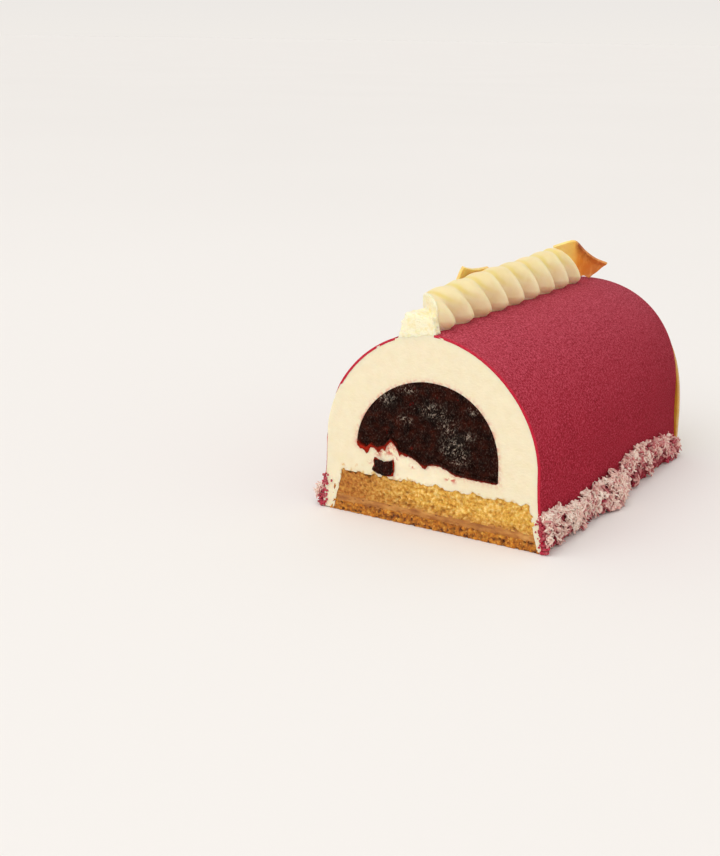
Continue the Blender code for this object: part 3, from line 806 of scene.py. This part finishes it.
sheen = {"Sheen_Weight": 0.03, "Sheen_Roughness": 0.5, "Sheen_Tint": (1.0, 0.62, 0.68, 1.0)}
velvet = new_finish("raspberry_velvet", 0.8, Specular_IOR_Level=0.04, **sheen)
lay(velvet, mottled(velvet, 0.0006, 6.0, (0.34, 128, 8, 24), (0.5, 164, 29, 49), (0.66, 198, 64, 84)))
lay(velvet, (176, 42, 60), mottled(velvet, 0.018, 4.0, (0.38, 0.0), (0.66, 0.3)))
# painted shade towards the far end
lay(velvet, (126, 22, 36), "rear_shade", 0.45)
# painted sheen in specks of the grain, growing towards the top
lay(velvet, (226, 118, 134), "top_sheen", mottled(velvet, 0.0006, 5.0, (0.4, 0.1), (0.62, 0.4)))
uneven = times(velvet, mottle(velvet, 0.0011, 3.0), 0.5)
across_cut = (-tan(CUT_TURN), 1.0, -tan(CUT_LEAN))
from_cut = measured(velvet, across_cut, CUT_END, CUT_END + 0.003)
bare = shades(velvet, worked(velvet, "Math", "ADD", from_cut, uneven).outputs[0], (0.33, 0.7), (0.46, 0.0))
far_rim = times(velvet, measured(velvet, (0, 1, 0), FAR_END - 0.0011, FAR_END - 0.0005), 0.5)
lay(velvet, (208, 40, 64), worked(velvet, "Math", "MAXIMUM", bare, far_rim).outputs[0])
raised(velvet, 0.0006, 0.0006, 5.0)
complete(coat, velvet, "velvet_coat", smooth=40)


# ---------------- the end plaque
# A thin plaque of clear golden caramel, poured in a stencil and stood against the far end of the log.

amber = new_finish(
    "caramel_glass", 0.22, (0.4, 1.0, (0.004, 0.0018, 0.0005)), Coat_Weight=0.3, Coat_Roughness=0.08
)
lay(amber, mottled(amber, 0.014, 4.0, (0.3, 178, 124, 28), (0.52, 193, 146, 46), (0.75, 208, 170, 76)))
lay(amber, (232, 196, 124), shades(amber, cells(amber, 0.003), (0.05, 1.0), (0.11, 0.0)))
raised(amber, 0.0004, 0.006)
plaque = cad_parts["end_plaque"]
plaque.data.materials.clear()
plaque.data.materials.append(amber)


# ---------------- the coconut
# Grated coconut, tossed in a little of the raspberry colour and pressed by hand along both feet of the log
# while its coat was tacky. It holds in clumps of shreds, with red dust between them.

CLUMPS = (  # Y, width, and what each adds to the height and to the foot of the bank
    (-0.06, 0.012, 0.0022, 0.0),
    (-0.016, 0.016, 0.001, 0.0),
    (-0.008, 0.009, -0.0006, 0.0032),
    (0.022, 0.022, 0.0032, 0.0),
    (0.064, 0.01, -0.0034, 0.0),
)


def bank_point(y, angle, side):
    """A point on the coconut's bank, from its foot on the table to its upper edge."""
    height, foot = 0.0098, 0.0005
    for middle, width, higher, deeper in CLUMPS:
        share = exp(-(((y * side - middle) / width) ** 2))
        height += higher * share
        foot += deeper * share
    lump = 1 + 0.5 * noise.noise(Vector((y * 210, angle * 1.3, side * 7.0)))
    z = height * (1 + 0.1 * noise.noise(Vector((y * 260, 3.0, side)))) * sin(angle) ** 0.8
    depth = foot * max(0.0, cos(angle)) ** 0.7 + 0.0014 * lump * sin(2 * angle)
    return Vector((side * (half_at(y) + spread_at(y, z) + depth), y, z))


def drawn_out(name, around, along, place):
    """A ball drawn out into a long closed piece: place(s, t) is its point s along and t of the way round."""
    bpy.ops.mesh.primitive_uv_sphere_add(segments=around, ring_count=along, radius=1.0)
    piece = begin(name)
    for point in piece.data.vertices:
        ring = round(acos(max(-1.0, min(1.0, point.co.z))) / pi * along)
        share = max(0, min(along - 2, ring - 1)) / (along - 2)
        if ring in (0, along):
            point.co = (Vector(place(share, 1 / 6)) + Vector(place(share, 2 / 3))) / 2
        else:
            point.co = place(share, (atan2(point.co.y, point.co.x) / tau) % 1.0)
    return piece


def bank_core(name, side):
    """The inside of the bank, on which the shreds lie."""
    front, back = cut_y(HALF_WIDTH * side, 0.005) + 0.0006, FAR_END - 0.0006

    def place(s, t):
        y = front + (back - front) * s
        t = t if side > 0 else (1 - t) % 1.0  # so that the faces look outward on both sides
        ends = min(1.0, 8 * s + 0.35, 8 * (1 - s) + 0.35)
        if t < 0.75:
            point = bank_point(y, pi / 2 * t / 0.75, side)
            rough = 1 + 0.00045 * patch(point, 0.0012) / 0.001
            out = (point.x - side * half_at(y)) * rough * ends - side * 0.0006
            return side * half_at(y) + out, y, point.z * 0.96
        z = bank_point(y, pi / 2, side).z * 0.96 * (1 - (t - 0.75) / 0.25)
        return side * (half_at(y) - 0.0006 + spread_at(y, z) * 0.8), y, z

    return drawn_out(name, 40, 300, place)


def one_shred(segments):
    """A shred of coconut one unit long: a bar that the copies bend, taper and thin."""
    bpy.ops.mesh.primitive_cube_add(size=1)
    shred = begin("shred")
    slice_at(shred, (1, 0, 0), [k / segments - 0.5 for k in range(1, segments)])
    start_editing(shred)
    bpy.ops.mesh.quads_convert_to_tris()
    stop_editing()
    points = np.array([point.co[:] for point in shred.data.vertices])
    faces = np.array([face.vertices[:] for face in shred.data.polygons])
    bpy.data.objects.remove(shred)
    return points, faces


def set_out(name, data):
    """Puts a mesh, a light or a camera into the scene as an object of its own."""
    thing = bpy.data.objects.new(name, data)
    bpy.context.scene.collection.objects.link(thing)
    return thing


def joined_copies(name, points, faces, tints):
    """One mesh of many small copies, each with its own tint."""
    copies, size = points.shape[0], points.shape[1]
    mesh = bpy.data.meshes.new(name)
    every = (faces[None] + (np.arange(copies) * size)[:, None, None]).reshape(-1, 3)
    mesh.from_pydata(points.reshape(-1, 3).tolist(), [], every.tolist())
    piece = set_out(name, mesh)
    store(piece, "dust_and_shade", np.repeat(tints, size))
    return piece


shred_points, shred_faces = one_shred(3)
SHREDS, HEAPS, AT_CUT = 3300, 150, 10  # a side, and how many of the heaps lie at the cut
DEEP_EVERY, RED_EVERY = 10, 18  # one heap in so many is on the deepest lump, one shred in so many a crumb


def shreds(name, side, seed):
    """All the shreds on one side, stuck in small heaps over the bank, and red crumbs by the cut."""
    rng = random.Random(seed)
    draw = rng.uniform
    front, back = cut_y(HALF_WIDTH * side, 0.005) + 0.0006, FAR_END - 0.002
    furthest = max(abs(corner[0]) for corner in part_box("coconut_right" if side > 0 else "coconut_left"))

    def any_way(far):
        return Vector([draw(-far, far) for _ in range(3)])

    heaps = []
    for k in range(HEAPS):
        y = front + (back - front) * max(0.0, (k - AT_CUT + rng.random()) / (HEAPS - AT_CUT))
        angle = draw(0.06, 1.0) * pi / 2
        if k % DEEP_EVERY == 0:
            y, angle = side * rng.gauss(-0.008, 0.0035), draw(0.06, 0.7)
        lift = max(0.0, 0.0004 + 0.0011 * patch((y, k * 0.003, side), 0.006)) + draw(0.0, 0.0005)
        heaps.append((y, angle, lift, rng.gauss(0, 0.1)))
    places, tints = [], []
    for n in range(SHREDS):
        heap_y, heap_angle, lift, heap_tint = rng.choice(heaps)
        off = min(2.0, abs(rng.gauss(0, 1.0)))
        way = draw(0, tau)
        y = min(back, max(front, heap_y + 0.0018 * off * cos(way)))
        angle = min(pi / 2, max(0.06, heap_angle + 0.22 * off * sin(way)))
        flake = rng.random() < 0.5
        length = draw(0.0013, 0.0026) if flake else draw(0.002, 0.004)
        width = draw(0.0008, 0.0014) if flake else draw(0.0004, 0.0007)
        stands = lift * max(0.0, 1 - off / 2) + draw(-0.0005, 0.0008)
        middle = bank_point(y, angle, side)
        red_crumb = n % RED_EVERY == 0
        if red_crumb:
            length, width, stands = draw(0.0006, 0.0011), draw(0.0006, 0.001), 0.0
            z = 0.0004 + 0.012 * rng.random() ** 1.3
            reach = rng.gauss(0.0002, 0.0007)
            x = side * (half_at(y) + CUT_SPREAD * (1 - z / SIDE_HEIGHT) ** 2 + reach)
            middle = Vector((x, cut_y(x, z) + draw(-0.0002, 0.0016), z))
        out = Vector((side * (0.35 + cos(angle)), 0.0, 0.25 + 0.9 * sin(angle))).normalized()
        thick = 0.0006 if red_crumb else draw(0.0002, 0.0004)
        lie = any_way(1)
        lie = (lie - out * lie.dot(out) * draw(0.2, 1.0)).normalized()
        flat = lie.cross(out + any_way(0.9)).normalized()
        up = lie.cross(flat)
        bend, twist = draw(-0.5, 0.5), draw(-1.2, 1.2)
        shape = []
        for u, v, w in shred_points:
            taper = 1 - 0.45 * (2 * abs(u)) ** 2 + draw(-0.12, 0.12)
            turn = twist * u
            a, b = v * width * taper, w * thick
            a, b = a * cos(turn) - b * sin(turn), a * sin(turn) + b * cos(turn)
            b += bend * length * (0.25 - u * u) * 2
            shape.append(middle + out * stands + lie * (u * length) + flat * a + up * b)
        lift_up = max(0.0, 0.0001 - min(p.z for p in shape))
        pull_in = max(0.0, max(abs(p.x) for p in shape) - furthest)
        places.append([(p.x - side * pull_in, max(p.y, CUT_END - 0.0022), p.z + lift_up) for p in shape])
        low = max(0.0, 1 - middle.z / 0.004)
        buried = 1 - held((stands + 0.0003) / 0.0013)
        corner = exp(-(((y - front) / 0.0022) ** 2)) * low
        # redder low down and at the cut's corner from the raspberry dust; redder and darker for buried shreds
        # and towards the far end, partly dust and partly painted shade
        dust_and_shade = 0.6 * buried + 0.48 * along(y) ** 2 + 0.26 * low + 0.5 * corner + heap_tint + 0.03
        tints.append(draw(0.7, 1.0) if red_crumb else held(rng.gauss(dust_and_shade, 0.15)))
    return joined_copies(name, np.array(places), shred_faces, np.array(tints))


rosy = new_finish("raspberry_dust", 0.8, (0.2, 0.001))
lay(rosy, mottled(rosy, 0.0014, 4.0, (0.34, 124, 22, 36), (0.5, 150, 40, 54), (0.66, 186, 92, 100)))
raised(rosy, 0.0003, 0.0006, 3.0)

grated = new_finish("grated_coconut", 0.6, (0.12, 1.0, (0.0012, 0.0007, 0.0006)))
white_to_pink = (0.0, 244, 225, 209), (0.3, 234, 195, 182), (0.55, 208, 132, 130)
# white to dark red: the raspberry dust together with painted shade between the shreds and towards the far end
lay(grated, shades(grated, "dust_and_shade", *white_to_pink, (0.8, 172, 54, 70), (1.0, 188, 34, 66)))
lay(grated, (204, 116, 120), mottled(grated, 0.001, 3.0, (0.54, 0.0), (0.68, 0.4)))
raised(grated, 0.0001, 0.0004)

for side, word, seed in ((1.0, "right", 31), (-1.0, "left", 47)):
    bank = bank_core(f"coconut_bank_{word}", side)
    complete(bank, rosy, f"coconut_{word}", smooth=60)
    loose = shreds(f"coconut_shreds_{word}", side, seed)
    complete(loose, grated, f"coconut_{word}", smooth=50)


# ---------------- the piped cream
# Whipped vanilla cream, piped along the top in one go with a flat nozzle that was moved to and fro, so that
# each fold lies on the one before. The knife broke its front end away and dragged a low block to the cut.

RUFFLE_MIDDLE, RUFFLE_PITCH, RUFFLE_FRONT_TIP, RUFFLE_FOLDS = -0.0045, 0.013, -0.0556, 9
RUFFLE_LEAN, RUFFLE_AXIS = 0.0085, 0.0704  # how far it leans towards the cut, and the height of its middle
FOLD_PEAK = 0.66
FOLD_SKEW = log(0.5) / log(FOLD_PEAK)


def ruffle_point(turn, angle):
    """A point on the cream: turn counts the folds along it, angle goes round it from 0 at the right."""
    up = sin(angle)
    place = (turn % 1.0) ** FOLD_SKEW
    soft = max(0.0, up) ** 0.8
    fold = (1 - soft) * (1 - abs(2 * place - 1) ** 2.2) ** 0.68 + soft * sin(pi * place) ** 1.3
    if turn > RUFFLE_FOLDS - 1 + FOLD_PEAK:
        fold = 1.0
    last = held((RUFFLE_FOLDS - 0.06 - turn) / 0.36)
    closing = sqrt(1 - (1 - last) ** 2)
    depth = 0.0053 - 0.0042 * max(0.0, up)
    width = 0.008 - depth * (1 - fold)
    above = 0.0077 + 0.0029 * held(turn / 4) ** 0.7
    above += 0.001 * max(0.0, turn / RUFFLE_FOLDS - 0.7) / 0.3
    rise = above * (0.965 + 0.035 * fold) if up > 0 else 0.0026 + 0.0016 * fold
    height = RUFFLE_AXIS + rise * up * (0.55 + 0.45 * closing)
    x = RUFFLE_MIDDLE + width * closing * copysign(abs(cos(angle)) ** 0.9, cos(angle))
    eased = (up + sqrt(up * up + 0.09)) / 2.0
    lean = RUFFLE_LEAN * (1 + 0.5 * max(0.0, turn - RUFFLE_FOLDS + 1)) * min(1.0, eased) ** 0.95
    y = RUFFLE_FRONT_TIP + (turn - FOLD_PEAK) * RUFFLE_PITCH - lean
    return x, y, height


def ruffle_place(s, t):
    """A point on the cream, s of the way along it and t round it, closed below on the log."""
    turn = -1.0 + (RUFFLE_FOLDS - 0.085 + 1.0) * s
    low, high = radians(-48), radians(228)
    if t < 0.84:
        x, y, z = ruffle_point(turn, low + (high - low) * t / 0.84)
        return x, y, max(z, arch_z(x, y) - 0.0003)
    left, right = ruffle_point(turn, high), ruffle_point(turn, low)
    x = left[0] + (right[0] - left[0]) * (t - 0.84) / 0.16
    return x, left[1], arch_z(x, left[1]) - 0.0004


def broken_end(x, z):
    """Y of the rough slanting face where the cream broke away behind the knife."""
    return cut_y(0.0, 0.0672) + 0.003 - 0.9 * (x - 0.001) - 0.25 * (z - 0.07)


def broken_pores(x, z):
    at = (x, 0.0, z)
    return 0.0004 * patch(at, 0.0016) + 0.0003 * patch(at, 0.0007) + 0.0006 * hole(at, 0.0018, 0.35)


cream = drawn_out("piped_folds", 56, 242, ruffle_place)
cut_with_knife(cream, 0.0004, broken_pores, broken_end, 0.06, 0.086, -0.016, 0.01)

bpy.ops.mesh.primitive_cube_add(size=1)
dragged = begin("dragged_cream")
start_editing(dragged)
bpy.ops.mesh.subdivide(number_cuts=24)
stop_editing()
for point in dragged.data.vertices:
    u, v, w = (c + 0.5 for c in point.co)
    left = -0.0122 + 0.003 * w + 0.0034 * v**2
    x = left + (0.002 - 0.0012 * w - left) * u
    foot = arch_z(x) - 0.0004 - 0.0014 * (1 - v) ** 5 * sin(pi * u) ** 0.4
    z = foot + (0.0732 - 0.0006 * u + 0.0003 * sin(x * 700) - foot) * w
    front, back = cut_y(x, z) - 0.0002, -0.0545 - 0.0085 * u
    point.co = (x, front + (back - front) * v, z)
modify(dragged, "SMOOTH", iterations=2)
for point in dragged.data.vertices:
    at = point.co.copy()
    rough = [0.0006 * patch(at, 0.0015, k * 5.0) + 0.0004 * patch(at, 0.0008, k) for k in range(3)]
    point.co += Vector(rough)
    point.co.y = max(point.co.y, cut_y(at.x, at.z))
take_up(cream)
dragged.select_set(True)
bpy.ops.object.join()
modify(cream, "REMESH", mode="VOXEL", voxel_size=0.00036)
modify(cream, "SMOOTH", iterations=2)
slope = [point.co.y + 1.09 * (point.co.z - RUFFLE_AXIS) for point in cream.data.vertices]
last_edge = cream.vertex_groups.new(name="last_edge")
last_edge.add([i for i, place in enumerate(slope) if place > 0.0455], 1.0, "REPLACE")
modify(cream, "SMOOTH", iterations=14, vertex_group="last_edge")


def torn_cream(x, y, z):
    """1 on the broken end and the dragged block, 0 on the smooth piped folds."""
    if y < broken_end(x, z) + 0.0012:
        return 1.0
    return 1.0 if y < -0.0585 and z < 0.074 and x < 0.001 else 0.0


def groove_shade(x, y, z):
    """1 in the grooves between folds in their upper half, where painted shade makes the cream a darker
    yellow.
    """
    up = held((z - 0.074) / 0.0045)
    lean = RUFFLE_LEAN * up**0.85
    turn = (y + lean - RUFFLE_FRONT_TIP) / RUFFLE_PITCH + FOLD_PEAK
    share = turn % 1.0
    return up * exp(-(((share - 0.16) / 0.16) ** 2))


mark_points(cream, "torn", torn_cream)
# where shade is painted into the grooves
mark_points(cream, "groove_shade", groove_shade)

whipped = new_finish("whipped_cream", 0.42, (0.35, 1.0, (0.003, 0.0018, 0.0008)), Specular_IOR_Level=0.4)
lay(whipped, mottled(whipped, 0.006, 2.0, (0.35, 242, 223, 172), (0.65, 250, 235, 188)))
# painted shade: darker yellow in the upper part of the grooves
lay(whipped, (236, 212, 108), "groove_shade", 0.9)
lay(whipped, (236, 210, 140), measured(whipped, (0, 0, 1), 0.0755, 0.0805), 0.45)
lay(whipped, mottled(whipped, 0.0015, 4.0, (0.36, 248, 234, 184), (0.52, 252, 243, 210)), "torn")
raised(whipped, 0.0004, 0.0006, 4.0, (1, 1, 1), "torn")
raised(whipped, 0.00006, 0.0018, 2.0, (1, 0.4, 1))
complete(cream, whipped, "piped_ruffle", smooth=50)


# ---------------- the caramel shavings
# Two curls shaved from a block of caramel chocolate: one stands at the far end of the cream, one leans on its
# left side. They are thin and glossy, yellow where light passes through, painted lighter yellow where they
# face the light, and darkened by painted shade in the hollow along the bent edge.

SHAVING_THICKNESS = 0.0011


def smooth_curve(points, share):
    """The point at share of the way along a smooth curve through these points."""
    spans = len(points) - 1
    span = min(int(share * spans), spans - 1)
    t = share * spans - span
    p = [Vector(points[min(max(span + k, 0), spans)]) for k in (-1, 0, 1, 2)]
    return 0.5 * (
        2 * p[1]
        + (p[2] - p[0]) * t
        + (2 * p[0] - 5 * p[1] + 4 * p[2] - p[3]) * t**2
        + (3 * p[1] - p[0] - 3 * p[2] + p[3]) * t**3
    )


def shaving(name, top_edge, foot_edge, hollow, browned):
    """A thin curl between its top edge and its foot, bowed by hollow; if browned is 1, it is orange-brown
    along its far part, with painted shade in its hollow.
    """
    across = (Vector(foot_edge[-1]) - Vector(foot_edge[0])).normalized()
    face = across.cross(Vector((0, 0, 1))).normalized()
    bpy.ops.mesh.primitive_grid_add(x_subdivisions=44, y_subdivisions=20, size=1)
    curl = begin(name)
    shares = []
    for point in curl.data.vertices:
        u, v = point.co.x + 0.5, point.co.y + 0.5
        shares.append((u, v))
        broken = 0.05 * (1 - v) * (1 + 1.6 * patch((0, v, u // 0.5), 0.3)) * (1 - 2 * u)
        foot, top = smooth_curve(foot_edge, u + broken), smooth_curve(top_edge, held(u + broken * v))
        corner = abs(2 * u - 1) ** 3 * (0.0026 if u < 0.5 or not browned else 0.0)
        foot.z += corner + 0.0008 * patch((u, 0, hollow), 0.22)
        ripple = 0.00018 * patch((u * 3, v * 3, 0), 0.6)
        point.co = foot.lerp(top, v) + face * (hollow * (1 - (2 * v - 1) ** 2) + ripple)
    # along runs the colour from a lighter yellow, painted light where the curl faces the light, to
    # orange-brown
    store(curl, "along", [u * (0.3 + 0.7 * browned) for u, _ in shares])
    # painted shade: a darker brown band in the hollow along the far curl's top edge
    band = [browned * np.interp(u, (0.36, 0.46, 0.62, 0.95), (0, 1, 1, 0.25)) for u, _ in shares]
    store(curl, "hollow_shade", [b * np.interp(v, (0.62, 0.95), (0, 1)) for b, (_, v) in zip(band, shares)])
    modify(curl, "SOLIDIFY", thickness=SHAVING_THICKNESS, offset=0.0)
    modify(curl, "BEVEL", width=0.0003, segments=2, limit_method="ANGLE", angle_limit=radians(50))
    return curl


far_top = [
    (-0.0105, 0.0503, 0.0800), (-0.0052, 0.0525, 0.0822), (-0.0025, 0.0540, 0.0823),
    (0.0005, 0.0561, 0.0787), (0.0042, 0.0584, 0.0757), (0.0083, 0.0608, 0.0739),
]
far_foot = [(-0.0095, 0.0566, 0.0662), (-0.0035, 0.0588, 0.0678), (0.0016, 0.06, 0.0678)]
left_top = [
    (-0.0116, -0.0230, 0.0819), (-0.0120, -0.0170, 0.0804),
    (-0.0122, -0.0105, 0.0794), (-0.0116, -0.0036, 0.0792),
]
left_foot = [(-0.0162, -0.0228, 0.0636), (-0.0166, -0.0145, 0.0633), (-0.016, -0.006, 0.0636)]

caramel = new_finish(
    "caramel_shaving", 0.3, (0.35, 1.0, (0.0035, 0.0014, 0.0004)), Coat_Weight=0.25, Coat_Roughness=0.15
)
lit_yellow = (0.12, 255, 226, 140), (0.36, 252, 206, 104)
brown = (0.5, 232, 156, 58), (0.72, 220, 142, 58), (0.95, 214, 140, 70)
# painted light: the curls are a lighter yellow at their start, where they face the light
lay(caramel, shades(caramel, "along", *lit_yellow, *brown))
# painted shade, darker brown in the hollow along the top edge
lay(caramel, (150, 76, 26), "hollow_shade", mottled(caramel, 0.0024, 2.0, (0.34, 0.7), (0.6, 1.0)))
lay(caramel, (226, 150, 70), mottled(caramel, 0.004, 3.0, (0.4, 0.0), (0.7, 0.25)))
lay(caramel, (248, 190, 104), mottled(caramel, 0.0013, 2.0, (0.45, 0.0), (0.65, 0.35), stretch=(1, 1, 6)))
raised(caramel, 0.0001, 0.003, 2.0, (1, 1, 4))
complete(shaving("far_curl", far_top, far_foot, -0.0008, 1.0), caramel, "far_shaving")
complete(shaving("left_curl", left_top, left_foot, -0.001, 0.0), caramel, "left_shaving")


# ---------------- the table, the light and the camera
# The cake stands on a plain pale table in soft, nearly shadowless studio light from the front and above.

bpy.ops.mesh.primitive_plane_add(size=80, location=(0, 0, -0.0001))
table = begin("table")
paper = new_finish("pale_table", 0.9, Specular_IOR_Level=0.1)
lay(paper, mottled(paper, 0.5, 1.0, (0.3, 0.84, 0.812, 0.784, 1), (0.7, 0.85, 0.822, 0.794, 1)))
table.data.materials.append(paper)

world = bpy.data.worlds.new("studio")
world.use_nodes = True
parts = new_node(world, "SeparateXYZ", Vector=new_node(world, "TexCoord").outputs["Generated"])
near_floor = (0.0, 0.869, 0.834, 0.792, 1), (0.024, 0.847, 0.815, 0.783, 1)
above = (0.12, 0.847, 0.815, 0.783, 1), (0.45, 0.69, 0.68, 0.666, 1)
walls = shades(world, parts.outputs["Z"], *near_floor, *above)
give(world, world.node_tree.nodes["Background"].inputs["Color"], walls)
bpy.context.scene.world = world

window = set_out("window", bpy.data.lights.new("window", "AREA"))
window.data.shape, window.data.size, window.data.energy = "DISK", 1.3, 1.6
window.location = (-0.35, -0.75, 1.0)
window.rotation_euler = (-Vector(window.location)).to_track_quat("-Z", "Y").to_euler()

ceiling = set_out("ceiling", bpy.data.lights.new("ceiling", "SUN"))
ceiling.data.energy, ceiling.data.angle = 1.25, radians(70)
ceiling.rotation_euler = Vector((0.0, 0.55, -0.85)).to_track_quat("-Z", "Y").to_euler()

camera = set_out("camera", bpy.data.cameras.new("camera"))
azimuth, elevation, roll = radians(32.003), radians(16.509), radians(0.754)
aim = Matrix.Rotation(azimuth, 4, "Z") @ Matrix.Rotation(pi / 2 - elevation, 4, "X")
place = Matrix.Translation((0.2014, -0.4302, 0.1587))
camera.matrix_world = place @ aim @ Matrix.Rotation(roll, 4, "Z")
camera.data.lens = 55.73
camera.data.sensor_width = 36.0
camera.data.clip_start, camera.data.clip_end = 0.01, 50.0
bpy.context.scene.camera = camera
bpy.context.scene.view_settings.view_transform = "Standard"
